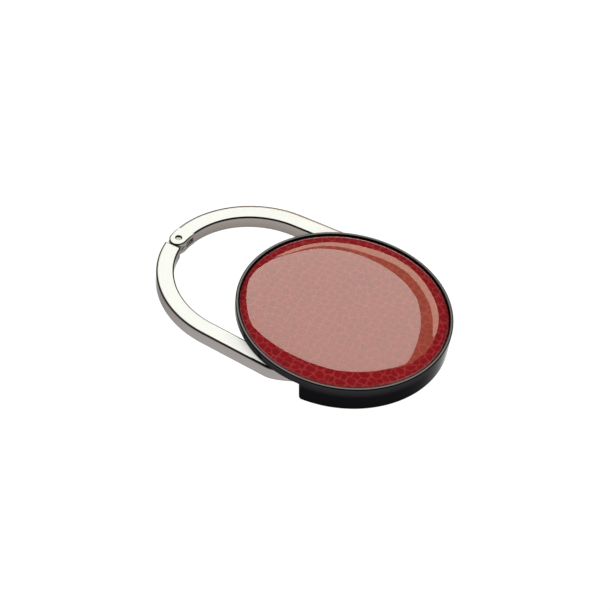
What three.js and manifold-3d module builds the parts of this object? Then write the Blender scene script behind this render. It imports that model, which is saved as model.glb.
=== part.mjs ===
// Purse hook: a round table rest with a folding loop of two curved arms.
// Millimetres, +Z up. The origin is the middle of the rubber foot's underside,
// the loop points along -X, and the hinged arm lies on the +Y side.
import * as THREE from 'three';
import { mergeVertices } from 'three/addons/utils/BufferGeometryUtils.js';
import Module from 'manifold-3d';

const wasm = await Module();
wasm.setup();

// Round rest, seen from outside
const discRadius = 22.5;
const rimWidth = 0.7;
const rimChamfer = 0.12;
const flangeHeight = 1.75;
const skirtLift = 0.3;
const skirtTaper = 0.4;
const skirtRound = 0.4;
const skirtCornerRadius = 1.0;
const skirtOverlap = 0.3;

// Inlay stack in the rim's recess
const deckThickness = 0.6;
const tapeThickness = 0.1;
const tapeInset = 0.5;
const leatherThickness = 0.5;
const leatherClearance = 0.3;
const domeHeight = 1.0;
const domeInset = 0.15;
const domeEdgePowerShare = 6;

// Walls, cover and foot below the deck
const footThickness = 0.6;
const coverThickness = 0.9;
const wallThickness = 1.3;
const ledgeWidth = 0.7;
const coverClearance = 0.05;
const wallInset = 0.6;
const bayInset = 2.0;
const footInset = 2.0;
const footBevel = 0.15;

// Loop of two arms
const loopInset = 1.6;
const crownReach = 18.7;
const armWidth = 3.67;
const armHeight = 3.0;
const armGap = 0.2;
const armLift = 0.05;
const legSplay = THREE.MathUtils.degToRad(2.7);
const tipWidth = 0.45;
const tipBevelLength = 6.95;
const tipBevelShare = 0.29;

// Crown hinge between the arms
const slotHeight = 1.2;
const slotDepth = 2.65;
const tongueThickness = 0.8;
const shimThickness = 0.16;
const rivetRadius = 0.75;
const rivetInset = 0.25;

// Fold hinge between the loop and the rest
const hingeOffset = 0.8;
const stopGap = 0.3;
const wallGap = 0.2;
const bossDepth = 1.5;
const pinShare = 0.25;
const pinTail = 0.4;
const washerThickness = 0.35;
const washerRadius = 1.5;
const bushWall = 0.3;
const bushFlangeThickness = 0.4;
const springInset = 0.1;
const springSheet = 0.18;
const springRise = 0.2;
const clipThickness = 0.35;
const clipInset = 0.08;
const clipMouth = 0.8;
const grooveDepth = 0.25;

// Magnet latch
const magnetRadius = 1.2;
const magnetLength = 3.0;
const cradleWall = 0.9;
const latchGap = 0.3;
const keeperRadius = 1.0;
const keeperLength = 0.9;

// Cover screws
const screwCount = 3;
const screwInset = 7.5;
const screwRadius = 0.65;
const screwLength = 3.2;
const headRadius = 1.4;
const headHeight = 0.7;
const screwBossRadius = 1.9;
const threadTip = 0.35;

// Clearances and facets
const runningClearance = 0.08;
const pressClearance = 0.04;
const faceClearance = 0.02;
const overrun = 1.0;
const discFacets = 96;
const wallFacets = 24;
const crownFacets = 14;
const cornerFacets = 4;
const smallFacets = 20;

// Radii, heights and places that follow
const wallRadius = discRadius - wallInset;
const bayRadius = discRadius - bayInset;
const loopRadius = discRadius - loopInset;
const loopCentreX = loopRadius - discRadius - crownReach;
const screwCircle = bayRadius - screwInset;
const hingeX = -hingeOffset;
const coverTop = footThickness + coverThickness;
const armBottom = coverTop + armLift;
const armTop = armBottom + armHeight;
const hingeZ = (armBottom + armTop) / 2;
const flangeUnderside = armTop + armGap;
const rimTop = flangeUnderside + flangeHeight;
const deckTop = flangeUnderside + deckThickness;
const tapeTop = deckTop + tapeThickness;
const leatherTop = tapeTop + leatherThickness;
const pinRadius = armHeight * pinShare;
const recessRadius = discRadius - rimWidth;
const innerRadius = loopRadius - armWidth;
const rivetX = loopCentreX - loopRadius + armWidth / 2;
const wallHalfWidth = innerRadius - wallGap;
const notchX = hingeX + armHeight / 2 + stopGap;
const hingeFace = wallHalfWidth + washerThickness + runningClearance;
const latchFace = wallHalfWidth + latchGap;
const bossEnd = hingeFace + bossDepth;
const bushRadius = pinRadius + runningClearance + bushWall;
const springRadius = armHeight / 2 - springInset;
const bushFlangeRadius = springRadius;
const clipRadius = springRadius - clipInset;
const bushInner = wallHalfWidth - wallThickness - bushFlangeThickness;
const springInner = bushInner - faceClearance - springSheet - springRise;
const clipInner = springInner - faceClearance - clipThickness;

// Finishes
const gunmetal = { color: 0x3a393b, roughness: 0.16, metalness: 1.0 };
const chromePlate = { color: 0xe9e7e2, roughness: 0.08, metalness: 1.0 };
const steel = { color: 0x9c9a96, roughness: 0.35, metalness: 1.0 };
const nickel = { color: 0xb9b6ae, roughness: 0.25, metalness: 1.0 };
const brass = { color: 0xb58a45, roughness: 0.35, metalness: 1.0 };
const redLeather = { color: 0x8a2023, roughness: 0.55, metalness: 0.0 };
const clearResin = { color: 0xf6efe9, roughness: 0.05, metalness: 0.0, transparent: true, opacity: 0.35 };
const whiteFilm = { color: 0xd9d6cf, roughness: 0.7, metalness: 0.0 };
const blackRubber = { color: 0x1a1a1b, roughness: 0.85, metalness: 0.0 };
const nylon = { color: 0xdcdad2, roughness: 0.6, metalness: 0.0 };

const purseHook = new THREE.Group();

function addPart(name, geometry, finish) {
  const mesh = new THREE.Mesh(geometry, new THREE.MeshStandardMaterial(finish));
  mesh.name = name;
  purseHook.add(mesh);
}

// A closed geometry as a solid that can be cut and joined
function solidOf(geometry) {
  const bare = geometry.clone();
  bare.deleteAttribute('normal');
  bare.deleteAttribute('uv');
  const merged = mergeVertices(bare);
  const vertProperties = new Float32Array(merged.attributes.position.array);
  const triVerts = new Uint32Array(merged.index.array);
  return new wasm.Manifold(new wasm.Mesh({ numProp: 3, vertProperties, triVerts }));
}

// A solid back as a geometry
function geometryOf(solid) {
  const mesh = solid.getMesh();
  const geometry = new THREE.BufferGeometry();
  geometry.setAttribute('position', new THREE.BufferAttribute(new Float32Array(mesh.vertProperties), 3));
  geometry.setIndex(new THREE.BufferAttribute(new Uint32Array(mesh.triVerts), 1));
  geometry.computeVertexNormals();
  return geometry;
}

function joined(first, ...rest) {
  return rest.reduce((sum, solid) => sum.add(solid), first);
}

function cutBy(first, ...rest) {
  return rest.reduce((sum, solid) => sum.subtract(solid), first);
}

// A profile of [radius, height] pairs turned about the vertical axis
function turned(profile, facets) {
  const points = profile.map(([radius, height]) => new THREE.Vector2(radius, height));
  return new THREE.LatheGeometry(points, facets).rotateX(Math.PI / 2);
}

// A profile of [radius, y] pairs turned about the fold axis, at its place
function turnedOnFoldAxis(profile, facets) {
  const points = profile.map(([radius, y]) => new THREE.Vector2(radius, y));
  return new THREE.LatheGeometry(points, facets).translate(hingeX, 0, hingeZ);
}

// A ring's closed profile between two radii and two heights
function ringProfile(inner, outer, low, high) {
  return [[inner, low], [outer, low], [outer, high], [inner, high], [inner, low]];
}

// A solid bar's profile from one height to another
function barProfile(radius, low, high) {
  return [[0, low], [radius, low], [radius, high], [0, high]];
}

// A plan outline raised from one height to another
function raised(shape, low, high, facets) {
  const geometry = new THREE.ExtrudeGeometry(shape, { depth: high - low, bevelEnabled: false, curveSegments: facets });
  return geometry.translate(0, 0, low);
}

// A side outline, drawn in X and Z, drawn out along Y
function drawnAlongY(shape, low, high, facets) {
  const geometry = new THREE.ExtrudeGeometry(shape, { depth: high - low, bevelEnabled: false, curveSegments: facets });
  return geometry.rotateX(Math.PI / 2).translate(0, high, 0);
}

function block(lowX, highX, lowY, highY, lowZ, highZ) {
  const geometry = new THREE.BoxGeometry(highX - lowX, highY - lowY, highZ - lowZ);
  return geometry.translate((lowX + highX) / 2, (lowY + highY) / 2, (lowZ + highZ) / 2);
}

// Outline of the walls under the deck, moved inwards by an inset: a wide arc on
// the skirt's side, a notch for each leg, and a narrower arc towards the loop
function footprint(inset) {
  const wide = wallRadius - inset;
  const narrow = bayRadius - inset;
  const side = wallHalfWidth - inset;
  const notch = notchX + inset;
  const wideAngle = Math.acos(notch / wide);
  const narrowAngle = Math.asin(side / narrow);
  const shape = new THREE.Shape();
  shape.absarc(0, 0, wide, -wideAngle, wideAngle, false);
  shape.lineTo(notch, side);
  shape.absarc(0, 0, narrow, Math.PI - narrowAngle, Math.PI + narrowAngle, false);
  shape.lineTo(notch, -side);
  shape.closePath();
  return shape;
}

// Rim, flange and deck as one turned plate with the inlay's recess on top
function deckSolid() {
  const profile = [
    [0, flangeUnderside],
    [discRadius, flangeUnderside],
    [discRadius, rimTop - rimChamfer],
    [discRadius - rimChamfer, rimTop],
    [recessRadius + rimChamfer, rimTop],
    [recessRadius, rimTop - rimChamfer],
    [recessRadius, deckTop],
    [0, deckTop],
  ];
  return solidOf(turned(profile, discFacets));
}

// Skirt below the flange, gently tapered, with a rounded lower edge
function skirtSolid() {
  const lowRadius = discRadius - skirtTaper;
  const innerSkirt = wallRadius - skirtOverlap;
  const profile = [[innerSkirt, skirtLift]];
  for (let i = 0; i <= cornerFacets; i += 1) {
    const turn = (i / cornerFacets) * (Math.PI / 2);
    profile.push([
      lowRadius - skirtRound + skirtRound * Math.sin(turn),
      skirtLift + skirtRound - skirtRound * Math.cos(turn),
    ]);
  }
  profile.push([discRadius, flangeUnderside], [innerSkirt, flangeUnderside], [innerSkirt, skirtLift]);
  const ring = solidOf(turned(profile, discFacets));
  const reach = discRadius + overrun;
  const cut = new THREE.Shape();
  cut.moveTo(-reach, skirtLift - overrun);
  cut.lineTo(notchX + skirtCornerRadius, skirtLift - overrun);
  cut.lineTo(notchX + skirtCornerRadius, skirtLift);
  cut.absarc(
    notchX + skirtCornerRadius, skirtLift + skirtCornerRadius, skirtCornerRadius,
    -Math.PI / 2, -Math.PI, true,
  );
  cut.lineTo(notchX, flangeUnderside);
  cut.lineTo(-reach, flangeUnderside);
  cut.closePath();
  return ring.subtract(solidOf(drawnAlongY(cut, -reach, reach, cornerFacets)));
}

// Closed wall under the deck, stepped inside so that the cover sits on a ledge
function wallSolid() {
  const outside = solidOf(raised(footprint(0), footThickness, flangeUnderside, wallFacets));
  const inside = solidOf(raised(footprint(wallThickness), coverTop, flangeUnderside, wallFacets));
  const step = raised(footprint(wallThickness - ledgeWidth), footThickness - overrun, coverTop, wallFacets);
  return cutBy(outside, inside, solidOf(step));
}

function screwPlace(index) {
  const angle = (index / screwCount) * 2 * Math.PI;
  return [screwCircle * Math.cos(angle), screwCircle * Math.sin(angle)];
}

function screwBoss(index) {
  const [x, y] = screwPlace(index);
  const height = flangeUnderside - coverTop;
  const post = new THREE.CylinderGeometry(screwBossRadius, screwBossRadius, height, smallFacets);
  return solidOf(post.rotateX(Math.PI / 2).translate(x, y, coverTop + height / 2));
}

function screwHole(index) {
  const [x, y] = screwPlace(index);
  const low = coverTop - overrun;
  const high = footThickness + screwLength + threadTip;
  const radius = screwRadius + pressClearance;
  const hole = new THREE.CylinderGeometry(radius, radius, high - low, smallFacets);
  return solidOf(hole.rotateX(Math.PI / 2).translate(x, y, (low + high) / 2));
}

// Die-cast body of the rest with its hinge and magnet seats
function housing() {
  const bosses = [];
  const threads = [];
  for (let i = 0; i < screwCount; i += 1) {
    bosses.push(screwBoss(i));
    threads.push(screwHole(i));
  }
  const cradleHalf = magnetRadius + cradleWall;
  const cradleInner = wallHalfWidth - magnetLength - cradleWall;
  const cradle = block(
    hingeX - cradleHalf, hingeX + cradleHalf, -wallHalfWidth + wallThickness / 2, -cradleInner,
    coverTop, flangeUnderside,
  );
  const magnetBore = barProfile(magnetRadius + pressClearance, -wallHalfWidth - overrun,
    -wallHalfWidth + magnetLength + faceClearance);
  const bushBore = barProfile(bushRadius + pressClearance, wallHalfWidth - wallThickness - overrun,
    wallHalfWidth + overrun);
  const body = joined(deckSolid(), skirtSolid(), wallSolid(), solidOf(cradle), ...bosses);
  return cutBy(
    body,
    solidOf(turnedOnFoldAxis(magnetBore, smallFacets)),
    solidOf(turnedOnFoldAxis(bushBore, smallFacets)),
    ...threads,
  );
}

function coverPlate() {
  const plate = solidOf(raised(footprint(wallThickness - ledgeWidth + coverClearance), footThickness, coverTop,
    wallFacets));
  const holes = [];
  for (let i = 0; i < screwCount; i += 1) {
    const [x, y] = screwPlace(i);
    const profile = [
      [0, footThickness - overrun],
      [headRadius + pressClearance, footThickness - overrun],
      [headRadius + pressClearance, footThickness],
      [screwRadius + runningClearance, footThickness + headHeight],
      [screwRadius + runningClearance, coverTop + overrun],
      [0, coverTop + overrun],
    ];
    holes.push(solidOf(turned(profile, smallFacets).translate(x, y, 0)));
  }
  return cutBy(plate, ...holes);
}

// Countersunk screw, head down, standing in its boss
function coverScrew(index) {
  const [x, y] = screwPlace(index);
  const headSeat = footThickness + faceClearance;
  const profile = [
    [0, headSeat],
    [headRadius, headSeat],
    [screwRadius, headSeat + headHeight],
    [screwRadius, headSeat + screwLength - threadTip],
    [screwRadius / 2, headSeat + screwLength],
    [0, headSeat + screwLength],
  ];
  return turned(profile, smallFacets).translate(x, y, 0);
}

// Non-slip pad with a small bevel round its lower edge
function footPad() {
  const body = solidOf(raised(footprint(footInset), footBevel, footThickness, wallFacets));
  const sole = solidOf(raised(footprint(footInset + footBevel), 0, footBevel, wallFacets));
  return body.add(sole);
}

// Clear cap: nearly level in the middle, rounding down to its edge
function resinDome() {
  const radius = recessRadius - leatherClearance - domeInset;
  const profile = [[0, leatherTop], [radius, leatherTop]];
  const steps = 2 * cornerFacets;
  for (let i = 1; i <= steps; i += 1) {
    const turn = (i / steps) * (Math.PI / 2);
    const reach = Math.cos(turn) ** (2 / domeEdgePowerShare);
    profile.push([i === steps ? 0 : radius * reach, leatherTop + domeHeight * Math.sin(turn)]);
  }
  return turned(profile, discFacets);
}

// Plan of one arm from the crown's middle to its hinge end, on the side given
function armPlan(side) {
  const tipX = hingeX + armHeight / 2;
  const startAngle = Math.PI / 2 + legSplay;
  const along = (radius, x) => radius / Math.cos(legSplay) + (x - loopCentreX) * Math.tan(legSplay);
  const bevelX = tipX - tipBevelLength;
  const controlX = bevelX + tipBevelLength * tipBevelShare;
  const shape = new THREE.Shape();
  shape.moveTo(loopCentreX - innerRadius, 0);
  shape.lineTo(loopCentreX - loopRadius, 0);
  shape.absarc(loopCentreX, 0, loopRadius, side * Math.PI, side * startAngle, side > 0);
  shape.lineTo(bevelX, side * along(loopRadius, bevelX));
  shape.quadraticCurveTo(
    controlX, side * along(loopRadius, controlX), tipX, side * (along(innerRadius, tipX) + tipWidth),
  );
  shape.lineTo(tipX, side * along(innerRadius, tipX));
  shape.absarc(loopCentreX, 0, innerRadius, side * startAngle, side * Math.PI, side < 0);
  return shape;
}

// Side view that rounds an arm's hinge end about the fold axis
function armSideView() {
  const shape = new THREE.Shape();
  const reach = loopCentreX - loopRadius - overrun;
  shape.moveTo(reach, armBottom);
  shape.lineTo(hingeX, armBottom);
  shape.absarc(hingeX, hingeZ, armHeight / 2, -Math.PI / 2, Math.PI / 2, false);
  shape.lineTo(reach, armTop);
  shape.closePath();
  return shape;
}

// A short upright cylinder at the crown hinge
function crownPost(radius, low, high, facets) {
  const post = new THREE.CylinderGeometry(radius, radius, high - low, facets);
  return post.rotateX(Math.PI / 2).translate(rivetX, 0, (low + high) / 2);
}

// One arm's bar with the boss that carries its end of the fold axis
function armBar(side, face) {
  const reach = loopRadius + discRadius;
  const bar = solidOf(raised(armPlan(side), armBottom, armTop, crownFacets));
  const rounding = solidOf(drawnAlongY(armSideView(), -reach, reach, smallFacets / 2));
  const low = side > 0 ? face : -bossEnd;
  const high = side > 0 ? bossEnd : -face;
  const boss = solidOf(turnedOnFoldAxis(barProfile(armHeight / 2, low, high), smallFacets));
  return bar.intersect(rounding).add(boss);
}

// Arm that turns on the fold hinge and forks round the other arm's tongue
function hingedArm() {
  const reach = loopRadius + armWidth;
  const end = solidOf(crownPost(armWidth / 2, armBottom, armTop, 2 * smallFacets));
  const slot = block(rivetX - armWidth, rivetX + armWidth, -reach, slotDepth,
    hingeZ - slotHeight / 2, hingeZ + slotHeight / 2);
  const rivetBore = crownPost(rivetRadius + pressClearance, armBottom - overrun, armTop + overrun, smallFacets);
  const pinBore = barProfile(pinRadius + pressClearance, hingeFace - overrun, bossEnd + overrun);
  return cutBy(
    armBar(1, hingeFace).add(end),
    solidOf(slot), solidOf(rivetBore), solidOf(turnedOnFoldAxis(pinBore, smallFacets)),
  );
}

// Arm that swings on the crown rivet, with a tongue and a pocket for its keeper
function swingArm() {
  const reach = loopRadius + armWidth;
  const tongueLow = hingeZ - tongueThickness / 2;
  const tongueHigh = hingeZ + tongueThickness / 2;
  const clear = block(rivetX - armWidth, rivetX + armWidth, -slotDepth, reach,
    armBottom - overrun, armTop + overrun);
  const bar = armBar(-1, latchFace).subtract(solidOf(clear));
  const blade = solidOf(raised(armPlan(-1), tongueLow, tongueHigh, crownFacets));
  const root = block(rivetX - armWidth, rivetX + armWidth, -slotDepth - armWidth, overrun,
    tongueLow - overrun, tongueHigh + overrun);
  const eye = solidOf(crownPost(armWidth / 2, tongueLow, tongueHigh, 2 * smallFacets));
  const rivetBore = crownPost(rivetRadius + runningClearance, armBottom, armTop, smallFacets);
  const pocket = barProfile(keeperRadius + pressClearance, -latchFace - keeperLength - faceClearance,
    -latchFace + overrun);
  return cutBy(
    joined(bar, blade.intersect(solidOf(root)), eye),
    solidOf(rivetBore), solidOf(turnedOnFoldAxis(pocket, smallFacets)),
  );
}

// Steel pin pressed into the hinged arm, with a groove for the clip at its tail
function foldPin() {
  const grooveLow = clipInner - faceClearance;
  const grooveHigh = clipInner + clipThickness + faceClearance;
  const profile = [
    [0, clipInner - pinTail],
    [pinRadius, clipInner - pinTail],
    [pinRadius, grooveLow],
    [pinRadius - grooveDepth, grooveLow],
    [pinRadius - grooveDepth, grooveHigh],
    [pinRadius, grooveHigh],
    [pinRadius, bossEnd],
    [0, bossEnd],
  ];
  return turnedOnFoldAxis(profile, smallFacets);
}

// Flanged bush in the wall, its flange inside
function foldBush() {
  const bore = pinRadius + runningClearance;
  const shoulder = wallHalfWidth - wallThickness - faceClearance;
  const profile = [
    [bore, bushInner],
    [bushFlangeRadius, bushInner],
    [bushFlangeRadius, shoulder],
    [bushRadius, shoulder],
    [bushRadius, wallHalfWidth],
    [bore, wallHalfWidth],
    [bore, bushInner],
  ];
  return turnedOnFoldAxis(profile, smallFacets);
}

// Coned spring washer that makes the fold hinge stiff
function discSpring() {
  const bore = pinRadius + runningClearance;
  const profile = [
    [bore, springInner],
    [springRadius, springInner + springRise],
    [springRadius, springInner + springRise + springSheet],
    [bore, springInner + springSheet],
    [bore, springInner],
  ];
  return turnedOnFoldAxis(profile, smallFacets);
}

// Open ring that snaps into the pin's groove
function retainingClip() {
  const bore = pinRadius - grooveDepth + runningClearance;
  const outerMouth = Math.asin(clipMouth / 2 / clipRadius);
  const innerMouth = Math.asin(clipMouth / 2 / bore);
  const shape = new THREE.Shape();
  shape.absarc(hingeX, hingeZ, clipRadius, outerMouth, 2 * Math.PI - outerMouth, false);
  shape.absarc(hingeX, hingeZ, bore, 2 * Math.PI - innerMouth, innerMouth, true);
  shape.closePath();
  return drawnAlongY(shape, clipInner, clipInner + clipThickness, smallFacets / 2);
}

// Thin washer between the tongue and one cheek of the fork
function crownShim(level) {
  const bore = rivetRadius + runningClearance;
  const middle = level * (tongueThickness / 2 + slotHeight / 2) / 2;
  const low = hingeZ + middle - shimThickness / 2;
  const profile = ringProfile(bore, armWidth / 2, low, low + shimThickness);
  return turned(profile, smallFacets).translate(rivetX, 0, 0);
}

// Rest
addPart('housing', geometryOf(housing()), gunmetal);
addPart('inlay_tape', turned(barProfile(recessRadius - tapeInset, deckTop, tapeTop), discFacets), whiteFilm);
addPart('leather_inlay', turned(barProfile(recessRadius - leatherClearance, tapeTop, leatherTop), discFacets),
  redLeather);
addPart('resin_dome', resinDome(), clearResin);
addPart('bottom_cover', geometryOf(coverPlate()), gunmetal);
addPart('foot_pad', geometryOf(footPad()), blackRubber);
for (let i = 0; i < screwCount; i += 1) {
  addPart(`cover_screw_${i + 1}`, coverScrew(i), steel);
}
addPart('fold_bush', foldBush(), brass);
addPart('latch_magnet', turnedOnFoldAxis(barProfile(magnetRadius, -wallHalfWidth,
  -wallHalfWidth + magnetLength), smallFacets), nickel);

// Hinged arm and what turns with it
addPart('hinged_arm', geometryOf(hingedArm()), chromePlate);
addPart('fold_pin', foldPin(), steel);
addPart('fold_washer', turnedOnFoldAxis(ringProfile(pinRadius + runningClearance, washerRadius,
  wallHalfWidth + runningClearance / 2, wallHalfWidth + runningClearance / 2 + washerThickness), smallFacets),
nylon);
addPart('disc_spring', discSpring(), steel);
addPart('retaining_clip', retainingClip(), steel);
addPart('crown_rivet', crownPost(rivetRadius, armBottom + rivetInset, armTop - rivetInset, smallFacets), steel);

// Swinging arm and what rides on it
addPart('swing_arm', geometryOf(swingArm()), chromePlate);
addPart('keeper_plug', turnedOnFoldAxis(barProfile(keeperRadius, -latchFace - keeperLength, -latchFace),
  smallFacets), steel);
addPart('crown_shim_upper', crownShim(1), nylon);
addPart('crown_shim_lower', crownShim(-1), nylon);

export default purseHook;
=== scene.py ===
"""Purse hook: a round table rest with a red leather inlay under a clear dome and a folding loop of two arms.

Shapes are worked out in millimetres and put into the meshes in metres.
"""

import math

import bmesh
import bpy
import numpy as np
from bpy.props import FloatProperty, FloatVectorProperty, PointerProperty
from bpy.types import Operator, Panel, PropertyGroup
from mathutils import Matrix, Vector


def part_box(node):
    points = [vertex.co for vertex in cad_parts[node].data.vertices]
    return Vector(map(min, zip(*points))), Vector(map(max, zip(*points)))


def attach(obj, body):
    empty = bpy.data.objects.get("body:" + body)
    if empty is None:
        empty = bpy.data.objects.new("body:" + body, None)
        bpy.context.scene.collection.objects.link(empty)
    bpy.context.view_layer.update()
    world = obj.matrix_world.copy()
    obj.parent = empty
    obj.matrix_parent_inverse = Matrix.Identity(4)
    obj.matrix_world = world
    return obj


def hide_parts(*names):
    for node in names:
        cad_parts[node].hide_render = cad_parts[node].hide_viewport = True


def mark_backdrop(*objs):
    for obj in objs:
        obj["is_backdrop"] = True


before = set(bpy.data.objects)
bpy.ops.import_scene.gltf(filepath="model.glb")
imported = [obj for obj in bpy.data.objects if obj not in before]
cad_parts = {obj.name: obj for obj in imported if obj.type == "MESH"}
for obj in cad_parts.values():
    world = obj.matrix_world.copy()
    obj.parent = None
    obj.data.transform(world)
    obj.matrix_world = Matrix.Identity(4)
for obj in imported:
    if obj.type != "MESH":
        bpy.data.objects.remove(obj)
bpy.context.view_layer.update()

bl_info = {
    "name": "Purse hook",
    "version": (1, 0, 0),
    "blender": (4, 5, 0),
    "location": "3D View > Sidebar > Purse hook",
    "description": "Builds the visible pieces of a folding purse hook round its CAD frame",
    "category": "Object",
}

MM = 0.001
WELD_DISTANCE = 1e-6
SHARP_ANGLE = math.radians(35.0)


def frame_box(node):
    """Lowest and highest corner of a CAD node in millimetres."""
    low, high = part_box(node)
    return np.array(low) / MM, np.array(high) / MM


# How far a visible piece departs from its solid, in millimetres
DISC_TRIM = 0.2
SKIRT_LIFT = 0.4
DOME_SPREAD = 0.25
BOSS_GAP = 0.04

# Places that the frame gives, in millimetres
DISC_RADIUS = frame_box("housing")[1][0] - DISC_TRIM
RIM_TOP = frame_box("housing")[1][2]
SKIRT_LOW = frame_box("housing")[0][2] + SKIRT_LIFT
TAPE_TOP = frame_box("inlay_tape")[1][2]
DECK_TOP = frame_box("inlay_tape")[0][2]
LEATHER_RADIUS = frame_box("leather_inlay")[1][0]
LEATHER_TOP = frame_box("leather_inlay")[1][2]
DOME_RADIUS = frame_box("resin_dome")[1][0] + DOME_SPREAD
DOME_TOP = frame_box("resin_dome")[1][2]
WALL_LOW = frame_box("bottom_cover")[0][2]
ARM_LOW = frame_box("hinged_arm")[0][2]
ARM_TOP = frame_box("hinged_arm")[1][2]
BOSS_FACE = frame_box("fold_washer")[1][1] + BOSS_GAP
LATCH_FACE = -frame_box("keeper_plug")[1][1]
MAGNET_FACE = -frame_box("latch_magnet")[0][1]

# The rest: its own sizes and the places that follow from them, in millimetres
RING_WIDTH = 0.62
RING_DISH = 0.008
FLANGE_HEIGHT = 1.55
# Widths over which the painted shade of the rim's outer and inner edges fades
EDGE_LINE = 0.06
INNER_EDGE_LINE = 0.03
SKIRT_TAPER = 0.02
TAPER_POWER = 1.3
SKIRT_ROUND = 0.4
SKIRT_LAP = 0.6
WALL_INSET = 0.4
BAY_INSET = 1.8
WALL_FACE_INSETS = (0.02, 0.6)
NOTCH_X = 1.5
NOTCH_CORNER = 1.0
NOTCH_SLANT = 0.5
WALL_NOTCH_GAP = 1.1
RECESS_RADIUS = DISC_RADIUS - RING_WIDTH
FLANGE_LOW = RIM_TOP - FLANGE_HEIGHT
WALL_RADIUS = DISC_RADIUS - WALL_INSET
BAY_RADIUS = DISC_RADIUS - BAY_INSET
SKIRT_INNER = WALL_RADIUS - SKIRT_LAP

# The inlay, in millimetres, and the leather's tones, which paint shade into its colour on the edge and beside
# it, under the rim
LEATHER_ROUND = 0.12
LEATHER_EDGE_SHADE_TONE = 0.3
LEATHER_MARGIN, LEATHER_MARGIN_SHADE_TONES = (0.25, 0.5, 1.1), (0.45, 0.75, 1.0)
DOME_SUNK = 0.1

# The loop: its own sizes and the places that follow from them, in millimetres
LOOP_INSET = 1.4
LOOP_REACH = 18.9
ARM_WIDTH = 3.67
HINGED_ARM_EXTRA = 0.4
EXTRA_GROWS = (18.0, 4.0)
SPLAY = math.radians(2.7)
HINGE_X = -0.8
TIP_WIDTH = 0.45
BEVEL_LENGTH = 6.95
BEVEL_SHARE = 0.29
TIP_HALF = 0.001
BOSS_RADIUS = 1.48
BOSS_EDGE = 0.05
HINGE_BOSS_DEPTH = 1.45
LATCH_BOSS_DEPTH = 1.6
POCKET_RADIUS = 1.03
POCKET_DEPTH = 0.92
HINGE_Z = (ARM_LOW + ARM_TOP) / 2
LOOP_OUTER = DISC_RADIUS - LOOP_INSET
LOOP_INNER = LOOP_OUTER - ARM_WIDTH
LOOP_X = LOOP_OUTER - DISC_RADIUS - LOOP_REACH
TIP_X = HINGE_X + (ARM_TOP - ARM_LOW) / 2

# The crown hinge: its own sizes and the places that follow from them, in millimetres
SLOT_HALF = 0.6
SLOT_DEPTH = 2.65
PLATE_LAP = 0.55
PLATE_ROUND = 0.05
PLATE_SKIN = 0.003
TONGUE_HALF = 0.4
TONGUE_GAP = 0.08
CHEEK_GAP = 0.04
CHEEK_REACH = 2.25
RIVET_RADIUS = 0.64
RIVET_ROUND = 0.12
RIVET_X = LOOP_X - LOOP_OUTER + ARM_WIDTH / 2
SLOT_LOW = HINGE_Z - SLOT_HALF
SLOT_TOP = HINGE_Z + SLOT_HALF

# Points round a disc, round a boss or the rivet and up the dome, and steps in a corner of an arm's section
DISC_POINTS = 256
BOSS_POINTS = 48
DOME_POINTS = 49
CORNER_STEPS = 5

# Largest corner and band of an arm's section, as shares of its shorter side
CORNER_SHARE = 0.4
BAND_SHARE = 0.18

# Radii of the corners on an arm's bar and on the outer edge of a cheek, as shares of the arm rounding
BAR_CORNER_SHARES = (1.0, 0.9, 1.0, 1.0)
CHEEK_CORNER_SHARE = 0.6

# Width of the band of painted shade on the two flats beside each corner of an arm's section: before it and
# after it
EDGE_SHADE_BANDS = ((0.04, 0.04), (0.08, 0.25), (0.1, 0.04), (0.04, 0.04))
HINGED_SHADE_BANDS = ((0.04, 0.04), (0.04, 0.45), (0.1, 0.04), (0.04, 0.04))

# Tones of the metal, which paint light and shade into its colour: 0 is the painted dark line of an edge, 0.5
# a side in painted shade, 1 a level face, and above 1 a level face turned into a pale matt plate that is
# painted in place of the chrome's bright reflection. The share of that plate on the loop's level faces goes
# by the distance from the rest's axis, in millimetres.
LEVEL_TONE = 0.99
# Painted shade on the arms' low edges and on the bosses
LOW_EDGE_SHADE_TONE = 0.3
BOSS_SHADE_TONE = 0.5
RIVET_TONE = 0.68
# Painted shadow on the swing arm's shoulder at the crown
SWING_START_SHADE_TONE = 0.4
# On the rest, the ring keeps its own colour; the edges, recess, underside, wall and sides take painted shade
RING_TONE = 0.85
RIM_EDGE_SHADE_TONE = 0.1
INNER_EDGE_SHADE_TONE = 0.7
UNDERSIDE_SHADE_TONE = 0.4
WALL_SHADE_TONE = 0.45
SHADED_SIDE_TONES = (0.53, 0.57)
# Painted shade on the skirt, darkest at its foot
SKIRT_HEIGHT_SHARES, SKIRT_SHADE_TONES = (0.0, 0.04, 0.1, 0.5, 1.0), (0.0, 0.05, 0.3, 0.45, 0.53)
PAINTED_REFLECTION_DISTANCES = (22.5, 25.0, 28.5)
PAINTED_REFLECTION_SHARES = (1.0, 1.0, 0.4)


class PurseHookSizes(PropertyGroup):
    """Sizes of the visible edges and of the leather's pattern."""

    rim_round: FloatProperty(
        name="Rim rounding",
        description="Radius of the rim's outer edge",
        default=0.15 * MM,
        unit="LENGTH",
    )
    recess_round: FloatProperty(
        name="Recess rounding",
        description="Radius of the rim's inner edge",
        default=0.1 * MM,
        unit="LENGTH",
    )
    arm_round: FloatProperty(
        name="Arm rounding",
        description="Radius of the edges of the two arms",
        default=0.29 * MM,
        unit="LENGTH",
    )
    dome_power: FloatProperty(
        name="Dome shoulder",
        description="Power of the dome's outline: higher is flatter with a tighter shoulder",
        default=9.0,
        min=2.0,
    )
    leather_cell: FloatProperty(
        name="Leather cell",
        description="Size of one cell in the leather's embossing",
        default=1.6 * MM,
        unit="LENGTH",
    )


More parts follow.
